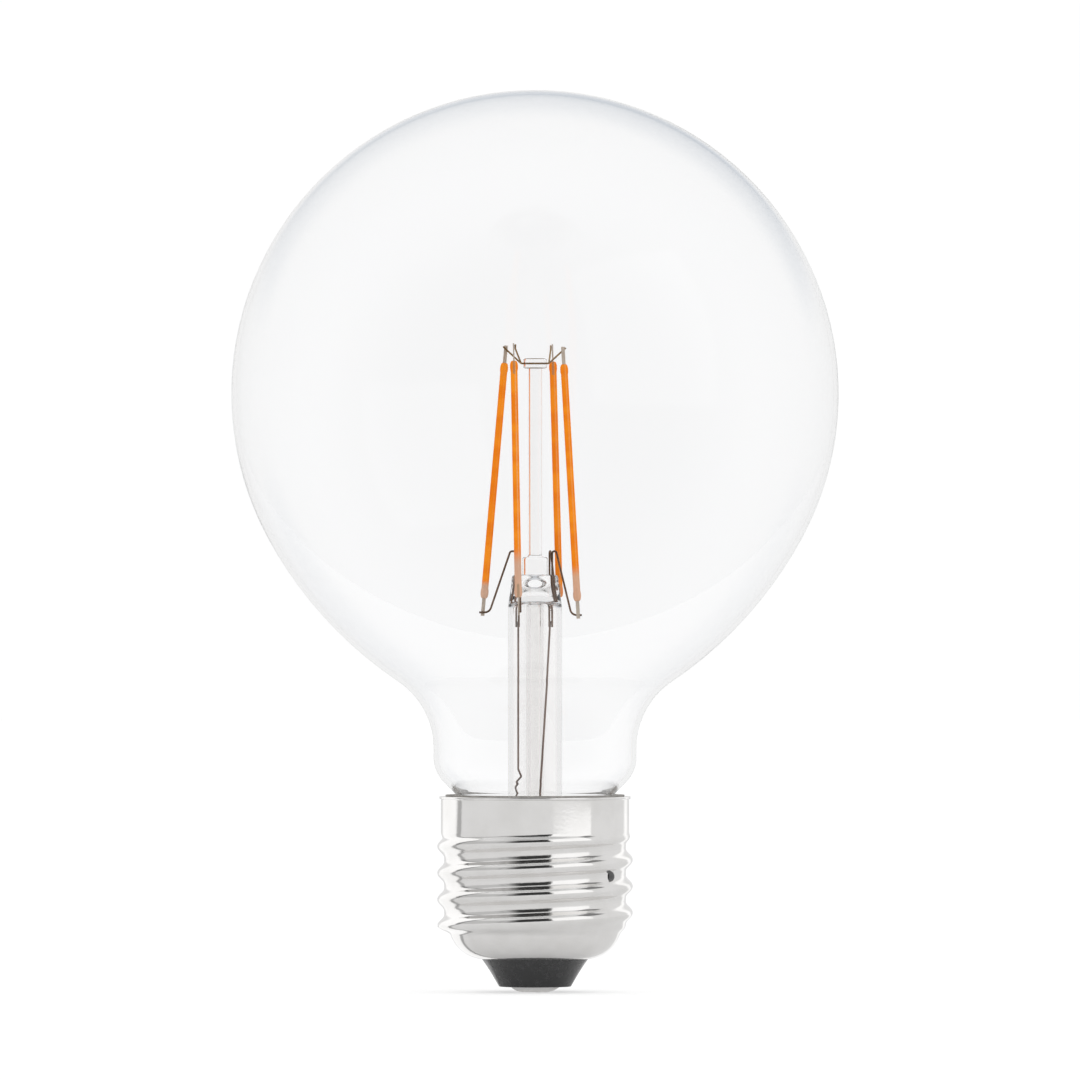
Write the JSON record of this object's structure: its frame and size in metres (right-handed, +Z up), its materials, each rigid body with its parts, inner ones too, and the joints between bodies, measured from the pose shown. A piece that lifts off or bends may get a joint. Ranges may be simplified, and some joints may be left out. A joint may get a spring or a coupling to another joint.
{
  "type": "globe bulb",
  "caption": "Clear glass globe lamp with straight light strips on a glass stem inside and a plated screw cap below.",
  "frame": {"origin": "lowest point of the centre contact, on the lamp's axis", "axes": "+Z up the lamp's axis from the contact to the top of the globe; -Y towards the viewer in the picture"},
  "size_m": [0.0832, 0.0832, 0.1235],
  "materials": {
    "clear_glass": "clear blown glass",
    "stem_glass": "clear drawn glass",
    "phosphor": "matt orange coat",
    "tab_metal": "plain stamped strip",
    "support_wire": "drawn wire",
    "supply_wire": "dull copper-clad wire",
    "cap_metal": "plated sheet, soft gloss",
    "black_glass": "glossy black",
    "contact_metal": "tinned",
    "cement": "dull baked cement",
    "board": "white board",
    "moulding": "moulded black",
    "can_metal": "drawn can",
    "resistor_coat": "dull coat"
  },
  "bodies": {
    "root": {"glass_globe": "clear_glass", "stem_flare": "stem_glass", "exhaust_tube": "stem_glass", "stem_post": "stem_glass", "top_wire_back": "support_wire", "top_wire_front": "support_wire", "outer_lead_left": "supply_wire", "outer_lead_right": "supply_wire", "cap_shell": "cap_metal", "cap_insulator": "black_glass", "centre_contact": "contact_metal", "side_pin": "contact_metal", "basing_cement": "cement", "driver_board": "board", "bridge_rectifier": "moulding", "driver_chip": "moulding", "smoothing_capacitor": "can_metal", "fuse_resistor": "resistor_coat", "side_wire": "supply_wire", "contact_wire": "supply_wire", "filament_1_strip": "phosphor", "filament_1_top_tab": "tab_metal", "filament_1_bottom_tab": "tab_metal", "inner_lead_1": "support_wire", "filament_2_strip": "phosphor", "filament_2_top_tab": "tab_metal", "filament_2_bottom_tab": "tab_metal", "inner_lead_2": "support_wire", "filament_3_strip": "phosphor", "filament_3_top_tab": "tab_metal", "filament_3_bottom_tab": "tab_metal", "inner_lead_3": "support_wire", "filament_4_strip": "phosphor", "filament_4_top_tab": "tab_metal", "filament_4_bottom_tab": "tab_metal", "inner_lead_4": "support_wire"}
  },
  "joints": []
}
